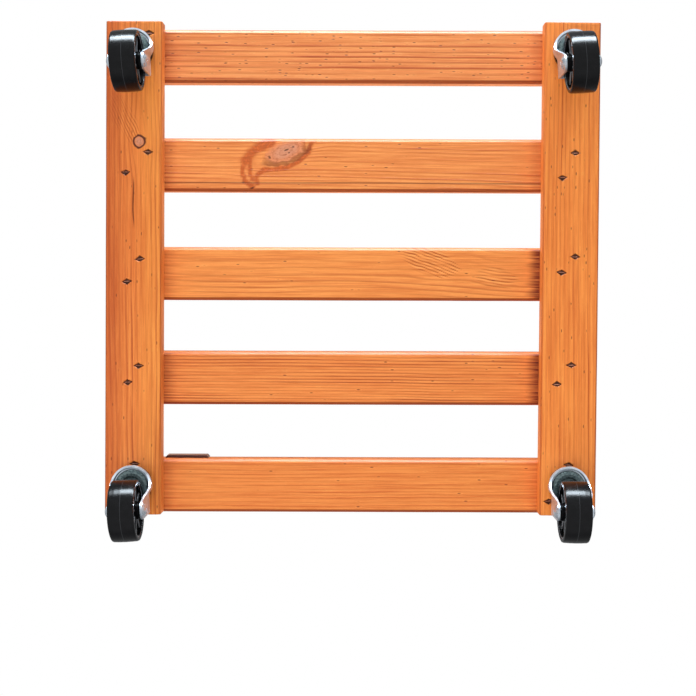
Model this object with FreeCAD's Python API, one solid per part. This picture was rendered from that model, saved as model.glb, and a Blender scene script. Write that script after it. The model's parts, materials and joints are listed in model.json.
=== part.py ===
"""Wheeled slatted wooden rack: five slats stapled across two rails, on four stem swivel casters.

Units are millimetres.  The frame is +Z up with the floor at z = 0, X along the slats and Y along
the rails; the origin lies on the floor below the centre of the whole object's bounding box.
"""
import FreeCAD, Part
import math
import os

Vec = FreeCAD.Vector
os.makedirs("parts", exist_ok=True)

# ---------------------------------------------------------------- driving dimensions: deck
deck_length = 452.5             # along the rails
deck_width = 452.0              # along the slats
rail_width = 51.5
rail_thickness = 17.0
rail_lower_edge = 2.5           # radius of the long edges that face the floor
rail_upper_edge = 1.0
rail_corner_radius = 2.5        # upright edges at the rail's ends
slat_width = 49.5
slat_thickness = 18.0
slat_lower_chamfer = 3.0        # the long edges that face the rails
slat_upper_edge = 1.8
end_edge_radius = 0.8           # the sawn ends are only lightly sanded
slat_count = 5
# how far each slat was nailed from its even place, towards +Y, from slat_1 at the +Y end
slat_setting_error = [-4.0, -4.4, -4.9, -1.3, -0.6]
# how far each rail was nailed out of square, in degrees about +Z
rail_skew = {"left": 0.5, "right": 0.0}

# ---------------------------------------------------------------- driving dimensions: staples
staple_crown = 5.8              # outside width of the crown, which lies across the rail
staple_wire_width = 1.2
staple_wire_thickness = 1.0
staple_length = 28.0            # crown to points
staple_depth = 0.7              # how far the crown is driven below the rail's face
# each staple's place from (rail centre line, slat centre line), two in every joint, slat_1 first
right_rail_staples = [[(-13.5, 17.5), (5.5, -14.3)],
                      [(-13.0, 10.0), (7.5, -8.5)],
                      [(-6.0, 13.0), (6.0, -7.5)],
                      [(-5.0, 12.5), (5.0, -2.8)],
                      [(-1.6, 22.5), (5.5, -11.2)]]
left_rail_staples = [[(-6.0, 14.0), (-8.0, -14.3)],
                     [(-3.3, 10.0), (8.3, -12.5)],
                     [(-4.3, 16.0), (8.0, 1.8)],
                     [(-1.9, 13.9), (11.0, -4.0)],
                     [(-0.6, 22.3), (17.5, -10.8)]]

# ---------------------------------------------------------------- driving dimensions: label plate
plate_length = 40.0
plate_height = 11.0
plate_thickness = 2.5
plate_bevel = 1.6
plate_from_end = 52.0           # from the slat's +X end to the plate

# ---------------------------------------------------------------- driving dimensions: casters
caster_height = 72.5            # floor to the rail's underside
stem_from_edge = 27.5           # stem to the rail's outer face
stem_from_end = 28.7            # stem to the rail's end
trail = 16.8                    # stem to axle, level
# how far each caster stands turned from pointing straight to -Y, in degrees about +Z
swivel_at_rest = {"front_left": 1.0, "front_right": -3.0, "rear_left": -3.5, "rear_right": -2.5}

insert_radius = 6.0
insert_length = 15.0
insert_wall_gap = 0.05
stem_radius = 4.0
thread_gap = 0.05
flange_radius = 16.0
flange_thickness = 3.3
boss_radius = 6.0
boss_height = 1.0
nut_across_flats = 13.0
nut_height = 6.0
collar_radius = 5.5
collar_height = 1.0
swivel_gap = 0.2                # between the fixed and the turning faces

head_radius = 18.75             # the fork's round head
leg_half_width = 15.4           # stem's axis to a leg's outer face
shoulder_radius = 9.0           # the head's sides turn in behind the stem
pinch_radius = 6.0              # hollow curve from the shoulder into each leg
sheet = 1.8
bend_radius = 3.0
skirt_height = 5.4              # the head's wall in front
leg_end_radius = 7.9
leg_front_lean = 21.0           # degrees off upright of each leg's front edge
leg_corner_radius = 12.0        # from the leg's front edge into the skirt's lower edge

ball_diameter = 2.5
ball_count = 16
ball_ring_radius = 10.6
ball_groove = 0.45
race_thickness = 1.1
race_radius = 15.0
kingpin_head_radius = 5.0
kingpin_head_height = 1.5

wheel_radius = 27.0
wheel_width = 23.0
tread_crown = 0.35
tread_edge_radius = 1.6
rim_step_radius = 23.4
rim_inner_radius = 21.8
rim_step_depth = 0.8
web_thickness = 7.0
hub_radius = 7.6
hub_half_width = 13.1
rib_count = 8
rib_thickness = 1.3
rib_outer_radius = 20.9
rib_height_below_rim = 2.2
rib_start_angle = 9.0
gate_mark_radius = 1.8
gate_mark_height = 0.6
gate_mark_place = 18.5          # from the axle to the gate mark

bush_radius = 4.0
bush_gap = 0.05                 # radial running clearance in the wheel's bore
rivet_radius = 3.0
rivet_gap = 0.05
rivet_head_radius = 6.3
rivet_head_height = 2.9
rivet_dimple_radius = 1.4
rivet_dimple_depth = 0.7

# ---------------------------------------------------------------- derived levels and places
# deck levels, from the floor
rail_bottom = caster_height
slat_bottom = rail_bottom + rail_thickness
slat_top = slat_bottom + slat_thickness
rail_centre_x = (deck_width - rail_width) / 2
slat_pitch = (deck_length - slat_width) / (slat_count - 1)
slat_centres = [(deck_length - slat_width) / 2 - i * slat_pitch + slat_setting_error[i]
                for i in range(slat_count)]
rail_side = {"left": -1, "right": 1}
stem_x = deck_width / 2 - stem_from_edge
stem_y = deck_length / 2 - stem_from_end
caster_corners = [(end + "_" + side, side, y) for end, y in (("front", -stem_y), ("rear", stem_y))
                  for side in ("left", "right")]

# caster levels, from the rail's underside, downwards negative
boss_bottom = -flange_thickness - boss_height
nut_bottom = boss_bottom - nut_height
collar_bottom = nut_bottom - collar_height
fork_top = collar_bottom - swivel_gap
fork_underside = fork_top - sheet
race_top = fork_underside - ball_diameter - swivel_gap + ball_groove
race_bottom = race_top - race_thickness
skirt_bottom = fork_top - skirt_height
axle_level = wheel_radius - caster_height
leg_inner = leg_half_width - sheet


# ---------------------------------------------------------------- geometry helpers
def block(x_low, x_high, y_low, y_high, z_low, z_high):
    return Part.makeBox(x_high - x_low, y_high - y_low, z_high - z_low, Vec(x_low, y_low, z_low))


def cylinder(radius, z_low, z_high, centre=(0.0, 0.0)):
    return Part.makeCylinder(radius, z_high - z_low, Vec(centre[0], centre[1], z_low))


def cross_cylinder(radius, x_low, x_high):
    """A cylinder along the axle, from x_low to x_high."""
    return Part.makeCylinder(radius, x_high - x_low, Vec(x_low, -trail, axle_level), Vec(1, 0, 0))


def lathe(points, axis_start, axis_direction):
    """Turn a closed outline of points about an axis."""
    wire = Part.makePolygon(points + [points[0]])
    return Part.Face(wire).revolve(axis_start, axis_direction, 360)


def arc_round_corner(before, corner, after, radius):
    """Start, middle and end of the arc that rounds a corner between two straight edges."""
    back = (before - corner).normalize()
    ahead = (after - corner).normalize()
    half_angle = back.getAngle(ahead) / 2
    reach = radius / math.tan(half_angle)
    centre = corner + (back + ahead).normalize() * (radius / math.sin(half_angle))
    middle = centre + (corner - centre).normalize() * radius
    return corner + back * reach, middle, corner + ahead * reach


def edges_along(shape, direction):
    """The straight edges of a shape that run along a direction."""
    found = []
    for edge in shape.Edges:
        run = edge.Vertexes[-1].Point - edge.Vertexes[0].Point
        if run.Length > 1e-6 and abs(abs(run.normalize().dot(direction)) - 1) < 1e-6:
            found.append(edge)
    return found


def end_rims(plank, grain):
    """The edges round the two sawn ends of a board."""
    ends = [face for face in plank.Faces if abs(abs(face.normalAt(0, 0).dot(grain)) - 1) < 1e-6]
    return ends[0].Edges + ends[1].Edges


def level_edges(plank, grain, z):
    """A board's two long edges at one level."""
    return [edge for edge in edges_along(plank, grain) if abs(edge.CenterOfMass.z - z) < 1e-6]


def skewed(shape, side):
    """Turn a shape that was laid out on a square rail to where that rail was nailed."""
    middle = Vec(rail_side[side] * rail_centre_x, 0, 0)
    shape.rotate(middle, Vec(0, 0, 1), rail_skew[side])
    return shape


# ---------------------------------------------------------------- staples and boards
def staple_places(rail_x, offsets):
    places = []
    for centre_y, pair in zip(slat_centres, offsets):
        for dx, dy in pair:
            places.append((rail_x + dx, centre_y + dy))
    return places


def staple(x, y):
    """A narrow-crown staple driven up through the rail into the slat."""
    low = rail_bottom + staple_depth
    half = staple_crown / 2
    thick = staple_wire_thickness
    wide = staple_wire_width / 2
    crown = block(x - half, x + half, y - wide, y + wide, low, low + thick)
    legs = [block(x - half, x - half + thick, y - wide, y + wide, low, low + staple_length),
            block(x + half - thick, x + half, y - wide, y + wide, low, low + staple_length)]
    return crown.fuse(legs).removeSplitter()


def staple_pit(x, y):
    """The open slot that the driver leaves under the crown."""
    half = staple_crown / 2
    wide = staple_wire_width / 2
    return block(x - half, x + half, y - wide, y + wide, rail_bottom - 1, rail_bottom + staple_depth)


def rail(side, places):
    """One rail with its staples' slots and the two blind holes for the casters' inserts."""
    half = rail_width / 2
    centre_x = rail_side[side] * rail_centre_x
    grain = Vec(0, 1, 0)
    plank = block(centre_x - half, centre_x + half, -deck_length / 2, deck_length / 2,
                  rail_bottom, slat_bottom)
    plank = plank.makeFillet(rail_corner_radius, edges_along(plank, Vec(0, 0, 1)))
    plank = plank.makeFillet(rail_lower_edge, level_edges(plank, grain, rail_bottom))
    plank = plank.makeFillet(rail_upper_edge, level_edges(plank, grain, slat_bottom))
    insert_holes = [cylinder(insert_radius, rail_bottom - 1, rail_bottom + insert_length,
                             (rail_side[side] * stem_x, y)) for y in (-stem_y, stem_y)]
    slots = [staple_pit(x, y) for x, y in places] + [staple(x, y) for x, y in places]
    return plank.cut(insert_holes + slots)


def slat(centre_y, staples):
    half = slat_width / 2
    grain = Vec(1, 0, 0)
    plank = block(-deck_width / 2, deck_width / 2, centre_y - half, centre_y + half,
                  slat_bottom, slat_top)
    plank = plank.makeChamfer(slat_lower_chamfer, level_edges(plank, grain, slat_bottom))
    plank = plank.makeFillet(slat_upper_edge, level_edges(plank, grain, slat_top))
    plank = plank.makeFillet(end_edge_radius, end_rims(plank, grain))
    return plank.cut(staples)


def label_plate():
    """A blank plate with bevelled ends on the inner edge of the front slat."""
    x_high = deck_width / 2 - plate_from_end
    x_low = x_high - plate_length
    y_low = slat_centres[-1] + slat_width / 2
    y_high = y_low + plate_thickness
    plate = block(x_low, x_high, y_low, y_high, slat_top - plate_height, slat_top)
    outer = [edge for edge in plate.Edges if edge.CenterOfMass.y > y_high - 1e-6]
    ends = [edge for edge in outer if not x_low + 1 < edge.CenterOfMass.x < x_high - 1]
    return plate.makeChamfer(plate_bevel, ends)


# ---------------------------------------------------------------- caster: fixed pieces
def threaded_insert():
    """A sleeve glued into the rail, threaded for the stem."""
    body = cylinder(insert_radius - insert_wall_gap, 0, insert_length)
    bore = cylinder(stem_radius + thread_gap, -1, insert_length - sheet)
    barbs = []
    for level in (3.0, 6.0, 9.0, 12.0):
        ring = cylinder(insert_radius, level, level + 1)
        barbs.append(ring.cut(cylinder(insert_radius - 0.8, level - 1, level + 2)))
    return body.cut(barbs).cut(bore)


def flange_washer():
    """The black stop under the rail: a wide round flange with a small boss below it."""
    flange = cylinder(flange_radius, -flange_thickness, 0)
    lower_rim = [edge for edge in flange.Edges
                 if edge.Closed and edge.CenterOfMass.z < -flange_thickness / 2]
    flange = flange.makeFillet(0.8, lower_rim)
    boss = cylinder(boss_radius, boss_bottom, -flange_thickness)
    return flange.fuse(boss).cut(cylinder(stem_radius + thread_gap, boss_bottom - 1, 1))


def lock_nut():
    """A hexagon nut with both ends chamfered round."""
    corner = nut_across_flats / math.sqrt(3)
    ring = [Vec(corner * math.cos(math.radians(60 * i)), corner * math.sin(math.radians(60 * i)),
                nut_bottom) for i in range(7)]
    hexagon = Part.Face(Part.makePolygon(ring)).extrude(Vec(0, 0, nut_height))
    nut_top = nut_bottom + nut_height
    flat = nut_across_flats / 2
    rise = (corner + 1 - flat) * math.tan(math.radians(30))
    turned = lathe([Vec(0, 0, nut_bottom), Vec(flat, 0, nut_bottom),
                    Vec(corner + 1, 0, nut_bottom + rise), Vec(corner + 1, 0, nut_top - rise),
                    Vec(flat, 0, nut_top), Vec(0, 0, nut_top)], Vec(0, 0, 0), Vec(0, 0, 1))
    return hexagon.common(turned).cut(cylinder(stem_radius + thread_gap, nut_bottom - 1, nut_top + 1))


def stem():
    """The threaded stem, which goes on down as the kingpin and is riveted over below the race."""
    shank = cylinder(stem_radius, fork_underside - 0.6, insert_length - 2 * sheet)
    tip = [edge for edge in shank.Edges if edge.Closed and edge.CenterOfMass.z > 0]
    shank = shank.makeChamfer(0.8, tip)
    neck = cylinder(stem_radius - 1, race_bottom, fork_underside - 0.6)
    rise = kingpin_head_height
    ball = (kingpin_head_radius ** 2 + rise ** 2) / (2 * rise)
    dome = Part.makeSphere(ball, Vec(0, 0, race_bottom - rise + ball))
    head = dome.common(cylinder(ball, race_bottom - rise - 1, race_bottom))
    return shank.fuse([neck, head]).removeSplitter()


def collar():
    """The plain thrust collar between the nut and the fork."""
    ring = cylinder(collar_radius, collar_bottom, nut_bottom)
    return ring.cut(cylinder(stem_radius + thread_gap, collar_bottom - 1, nut_bottom + 1))


def lower_race():
    """The pressed dish under the fork's head: a flat middle, a ball groove and a turned-up rim."""
    groove = ball_groove
    inner = ball_ring_radius - 2.2
    outer = ball_ring_radius + 2.2
    bore = stem_radius - 1 + thread_gap
    rim_top = fork_underside - 3 * swivel_gap
    upper = [Vec(bore, 0, race_top), Vec(inner, 0, race_top),
             Vec(ball_ring_radius - 0.9, 0, race_top - groove),
             Vec(ball_ring_radius + 0.9, 0, race_top - groove), Vec(outer, 0, race_top),
             Vec(race_radius - race_thickness, 0, race_top + 0.4),
             Vec(race_radius - race_thickness, 0, rim_top)]
    lower = [Vec(race_radius, 0, rim_top), Vec(race_radius, 0, race_top - 0.2),
             Vec(race_radius - 0.9, 0, race_bottom + 0.2), Vec(outer + 0.4, 0, race_bottom),
             Vec(ball_ring_radius + 1.2, 0, race_bottom - groove),
             Vec(ball_ring_radius - 1.2, 0, race_bottom - groove),
             Vec(inner - 0.4, 0, race_bottom), Vec(bore, 0, race_bottom)]
    return lathe(upper + lower, Vec(0, 0, 0), Vec(0, 0, 1))


def ball_ring():
    level = fork_underside - swivel_gap / 2 - ball_diameter / 2
    balls = []
    for i in range(ball_count):
        angle = 2 * math.pi * i / ball_count
        centre = Vec(ball_ring_radius * math.cos(angle), ball_ring_radius * math.sin(angle), level)
        balls.append(Part.makeSphere(ball_diameter / 2, centre))
    return Part.makeCompound(balls)


# ---------------------------------------------------------------- caster: turning fork
def fork_plan(inset, rear, level):
    """The fork from above: a round head in front, drawn in behind it to two straight legs."""
    radius = head_radius - inset
    shoulder = shoulder_radius - inset
    half = leg_half_width - inset
    hollow = pinch_radius + inset
    shoulder_x = head_radius - shoulder_radius
    pinch_x = leg_half_width + pinch_radius
    pinch_y = -math.sqrt((shoulder_radius + pinch_radius) ** 2 - (pinch_x - shoulder_x) ** 2)
    shoulder_centre = Vec(shoulder_x, 0, level)
    pinch_centre = Vec(pinch_x, pinch_y, level)
    outward = (pinch_centre - shoulder_centre).normalize()
    shoulder_middle = (outward + Vec(1, 0, 0)).normalize() * shoulder
    hollow_middle = (Vec(-1, 0, 0) - outward).normalize() * hollow
    right = [Vec(half, rear, level), Vec(half, pinch_y, level), pinch_centre + hollow_middle,
             shoulder_centre + outward * shoulder, shoulder_centre + shoulder_middle,
             Vec(radius, 0, level)]
    left = [Vec(-point.x, point.y, level) for point in right]
    edges = [Part.makeLine(right[0], right[1]),
             Part.Arc(right[1], right[2], right[3]).toShape(),
             Part.Arc(right[3], right[4], right[5]).toShape(),
             Part.Arc(right[5], Vec(0, radius, level), left[5]).toShape(),
             Part.Arc(left[5], left[4], left[3]).toShape(),
             Part.Arc(left[3], left[2], left[1]).toShape(),
             Part.makeLine(left[1], left[0]),
             Part.makeLine(left[0], right[0])]
    return Part.Face(Part.Wire(edges))


def fork_half_shell(inset, rear, top):
    """The fork's solid form down to below its legs, with its top edge rounded by the press."""
    low = axle_level - leg_end_radius - 5
    solid = fork_plan(inset, rear, low).extrude(Vec(0, 0, top - low))
    rim = [edge for edge in solid.Edges
           if min(v.Point.z for v in edge.Vertexes) > top - 1e-6 and edge.CenterOfMass.y > rear + 1e-3]
    return solid.makeFillet(bend_radius - inset, rim)


def fork_side():
    """The fork from the side: legs with round ends, their front edges swept up into the skirt."""
    lean = math.radians(leg_front_lean)
    axle = Vec(0, -trail, axle_level)
    rear = -trail - leg_end_radius
    along_edge = Vec(0, math.sin(lean), math.cos(lean))
    edge_foot = axle + Vec(0, math.cos(lean), -math.sin(lean)) * leg_end_radius
    corner = edge_foot + along_edge * ((skirt_bottom - edge_foot.z) / along_edge.z)
    front = head_radius + 2
    start, middle, end = arc_round_corner(edge_foot, corner, Vec(0, front, skirt_bottom),
                                          leg_corner_radius)
    outline = [Part.makeLine(Vec(0, rear, fork_top + 1), Vec(0, front, fork_top + 1)),
               Part.makeLine(Vec(0, front, fork_top + 1), Vec(0, front, skirt_bottom)),
               Part.makeLine(Vec(0, front, skirt_bottom), end),
               Part.Arc(end, middle, start).toShape(),
               Part.makeLine(start, edge_foot),
               Part.Arc(edge_foot, axle - Vec(0, 0, leg_end_radius), Vec(0, rear, axle_level)).toShape(),
               Part.makeLine(Vec(0, rear, axle_level), Vec(0, rear, fork_top + 1))]
    reach = head_radius + 2
    face = Part.Face(Part.Wire(outline))
    face.translate(Vec(-reach, 0, 0))
    return face.extrude(Vec(2 * reach, 0, 0))


def fork():
    rear = -trail - leg_end_radius
    outer = fork_half_shell(0.0, rear - 1, fork_top)
    inner = fork_half_shell(sheet, rear - 5, fork_underside)
    shell = outer.cut(inner).common(fork_side())
    kingpin_hole = cylinder(stem_radius + 2 * thread_gap, fork_underside - 1, fork_top + 1)
    axle_hole = cross_cylinder(rivet_radius + rivet_gap, -leg_half_width - 1, leg_half_width + 1)
    return shell.cut([kingpin_hole, axle_hole])


# ---------------------------------------------------------------- caster: axle and wheel
def axle_rivet():
    """A solid rivet through both legs, with a domed head at each end."""
    rise = rivet_head_height
    ball = (rivet_head_radius ** 2 + rise ** 2) / (2 * rise)
    pieces = []
    for side in (-1, 1):
        seat = side * leg_half_width
        tip = side * (leg_half_width + rise)
        dome = Part.makeSphere(ball, Vec(tip - side * ball, -trail, axle_level))
        head = dome.common(cross_cylinder(ball, min(seat, tip), max(seat, tip)))
        dimple_end = tip - side * rivet_dimple_depth
        dimple = cross_cylinder(rivet_dimple_radius, min(dimple_end, tip + side), max(dimple_end, tip + side))
        pieces.append(head.cut(dimple))
    shank = cross_cylinder(rivet_radius, -leg_half_width, leg_half_width)
    return shank.fuse(pieces).removeSplitter()


def axle_bush():
    """The sleeve that the wheel turns on, clamped between the legs."""
    sleeve = cross_cylinder(bush_radius, -leg_inner, leg_inner)
    return sleeve.cut(cross_cylinder(rivet_radius + rivet_gap, -leg_inner - 1, leg_inner + 1))


def wheel_section():
    """Half section of the wheel as (distance along the axle, radius), from hub to tread."""
    half = wheel_width / 2
    web = web_thickness / 2
    edge = tread_edge_radius
    shoulder = wheel_radius - tread_crown
    bore = bush_radius + bush_gap
    return [(0, bore), (hub_half_width, bore), (hub_half_width, hub_radius - 0.8),
            (hub_half_width - 0.6, hub_radius), (web, hub_radius + 0.5), (web, rim_inner_radius - 0.4),
            (half - rim_step_depth, rim_inner_radius), (half - rim_step_depth, rim_step_radius - 0.2),
            (half, rim_step_radius), (half, shoulder - edge),
            (half - 0.29 * edge, shoulder - 0.29 * edge), (half - edge, shoulder),
            (half / 2, wheel_radius - tread_crown / 3), (0, wheel_radius)]


def wheel():
    """A moulded wheel: hub, recessed web with radial ribs on both faces, plain crowned tread."""
    half_outline = wheel_section()
    outline = half_outline + [(-x, r) for x, r in reversed(half_outline) if x > 0]
    points = [Vec(x, -trail, axle_level + r) for x, r in outline]
    turned = lathe(points, Vec(0, -trail, axle_level), Vec(1, 0, 0))
    rib_reach = wheel_width / 2 - rib_height_below_rim
    axle = Vec(0, -trail, axle_level)
    extras = []
    for i in range(rib_count):
        rib = block(-rib_reach, rib_reach, -rib_thickness / 2, rib_thickness / 2,
                    hub_radius - 0.5, rib_outer_radius)
        rib.rotate(Vec(0, 0, 0), Vec(1, 0, 0), rib_start_angle + i * 360 / rib_count)
        rib.translate(axle)
        extras.append(rib)
    gate = Part.makeCylinder(gate_mark_radius, web_thickness + 2 * gate_mark_height,
                             Vec(-web_thickness / 2 - gate_mark_height, 0, gate_mark_place), Vec(1, 0, 0))
    gate.rotate(Vec(0, 0, 0), Vec(1, 0, 0), rib_start_angle + 180 / rib_count)
    gate.translate(axle)
    return turned.fuse(extras + [gate]).removeSplitter()


# ---------------------------------------------------------------- assembly
def build_deck():
    nodes = {}
    staples = {}
    for side, offsets in (("left", left_rail_staples), ("right", right_rail_staples)):
        places = staple_places(rail_side[side] * rail_centre_x, offsets)
        staples[side] = [skewed(staple(x, y), side) for x, y in places]
        nodes[side + "_rail"] = skewed(rail(side, places), side)
        nodes[side + "_rail_staples"] = Part.makeCompound(staples[side])
    for i, centre_y in enumerate(slat_centres):
        here = slice(2 * i, 2 * i + 2)
        through = staples["left"][here] + staples["right"][here]
        nodes["slat_%d" % (i + 1)] = slat(centre_y, through)
    nodes["label_plate"] = label_plate()
    return nodes


def build_casters():
    nodes = {}
    pieces = {"threaded_insert": threaded_insert(), "flange_washer": flange_washer(),
              "lock_nut": lock_nut(), "stem": stem(), "thrust_collar": collar(),
              "ball_ring": ball_ring(), "lower_race": lower_race(), "fork": fork(),
              "axle_rivet": axle_rivet(), "axle_bush": axle_bush(), "wheel": wheel()}
    for corner, side, y in caster_corners:
        place = skewed(Part.Vertex(rail_side[side] * stem_x, y, rail_bottom), side).Point
        for name, shape in pieces.items():
            placed = shape.copy()
            placed.rotate(Vec(0, 0, 0), Vec(0, 0, 1), swivel_at_rest[corner])
            placed.translate(place)
            nodes[corner + "_" + name] = placed
    return nodes


def main():
    nodes = build_deck()
    nodes.update(build_casters())
    # the trailing wheels stand out past the front of the deck, so the box's centre lies ahead of it
    box = Part.makeCompound(list(nodes.values())).optimalBoundingBox(True, False)
    shift = Vec(-(box.XMin + box.XMax) / 2, -(box.YMin + box.YMax) / 2, 0)
    for name, shape in nodes.items():
        shape.translate(shift)
        shape.exportStep("parts/%s.step" % name)
        if not shape.isValid():
            print("not valid:", name)
    print("nodes", len(nodes), "deck centre at x %.3f y %.3f" % (shift.x, shift.y))
    print("box %.2f x %.2f x %.2f mm, base at z %.3f" % (box.XLength, box.YLength, box.ZLength, box.ZMin))


main()
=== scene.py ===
"""Looks of the wheeled slatted rack: stained pine boards, zinc-plated forks, black wheels."""
import json
import math
import random

import bpy
import numpy as np
from mathutils import Matrix, Vector


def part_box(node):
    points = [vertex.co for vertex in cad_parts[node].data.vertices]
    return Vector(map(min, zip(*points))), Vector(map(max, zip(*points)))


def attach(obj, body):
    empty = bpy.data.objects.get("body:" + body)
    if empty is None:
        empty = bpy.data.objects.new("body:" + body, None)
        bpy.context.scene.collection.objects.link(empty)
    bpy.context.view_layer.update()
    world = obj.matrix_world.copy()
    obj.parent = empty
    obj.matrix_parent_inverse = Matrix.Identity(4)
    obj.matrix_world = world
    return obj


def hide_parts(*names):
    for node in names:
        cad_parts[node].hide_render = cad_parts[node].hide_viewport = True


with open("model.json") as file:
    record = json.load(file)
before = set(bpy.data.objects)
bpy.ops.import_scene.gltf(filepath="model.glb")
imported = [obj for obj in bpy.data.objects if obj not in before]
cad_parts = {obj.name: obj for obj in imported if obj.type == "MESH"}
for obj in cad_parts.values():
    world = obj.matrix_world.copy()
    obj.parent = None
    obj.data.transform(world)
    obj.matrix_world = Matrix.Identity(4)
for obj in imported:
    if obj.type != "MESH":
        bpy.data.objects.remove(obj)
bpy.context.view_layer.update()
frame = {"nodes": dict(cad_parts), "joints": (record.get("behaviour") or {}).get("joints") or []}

MM = 0.001
FAR = 9.0                   # well past any mark's outline, where 1 is on the outline
END_ROUND = 0.8             # depth of the rounding at a board's sawn ends
ALONG_STEP, ACROSS_STEP, THROUGH_STEP = 1.8, 0.55, 0.9      # mesh of a board
LEAST_STEP = 0.2
SLOT_CUTS = np.arange(-4.5, 4.6, 0.5)       # finer mesh round a staple's slot
KNOT_CUTS = np.arange(-24, 24.1, 0.8)       # and round a knot
STAPLE_GAP = 8.0            # vertices further apart than this belong to different staples
CORNERS = ("front_left", "front_right", "rear_left", "rear_right")


# ---------------------------------------------------------------- small helpers
def srgb(red, green, blue):
    """A display colour from 0 to 255 as a linear RGBA colour."""
    linear = [(c / 255 / 12.92 if c <= 10 else ((c / 255 + 0.055) / 1.055) ** 2.4)
              for c in (red, green, blue)]
    return (*linear, 1.0)


def smoothstep(low, high, x):
    t = np.clip((x - low) / (high - low), 0, 1)
    return t * t * (3 - 2 * t)


def lattice_noise(points, cell, seed):
    """A smooth random field from -1 to 1 over points in millimetres, with one knot per cell."""
    scaled = points / np.array(cell, dtype=float) + 31.7 * seed
    low = np.floor(scaled).astype(np.int64)
    part = scaled - low
    part = part * part * (3 - 2 * part)
    total = np.zeros(len(points))
    for corner in np.ndindex(2, 2, 2):
        key = low + np.array(corner)
        mixed = (key[:, 0] * 73856093) ^ (key[:, 1] * 19349663) ^ (key[:, 2] * 83492791)
        mixed = ((mixed ^ (mixed >> 13)) * 1274126177) % 4294967296
        value = (mixed ^ (mixed >> 16)) % 65536 / 32768 - 1
        total += value * np.prod(np.where(corner, part, 1 - part), axis=1)
    return total


def joint_place(name):
    return Vector(next(j["pos_m"] for j in frame["joints"] if j["name"] == name))


def new_object(name, vertices, faces, materials, to_row=Matrix.Identity(4), smooth=True):
    """A mesh object from vertices in millimetres in a local frame."""
    mesh = bpy.data.meshes.new(name)
    mesh.from_pydata((np.asarray(vertices) * MM).tolist(), [], [list(map(int, f)) for f in faces])
    mesh.polygons.foreach_set("use_smooth", [smooth] * len(mesh.polygons))
    for material in materials:
        mesh.materials.append(material)
    piece = bpy.data.objects.new(name, mesh)
    bpy.context.scene.collection.objects.link(piece)
    piece.matrix_world = to_row
    return piece


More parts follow.
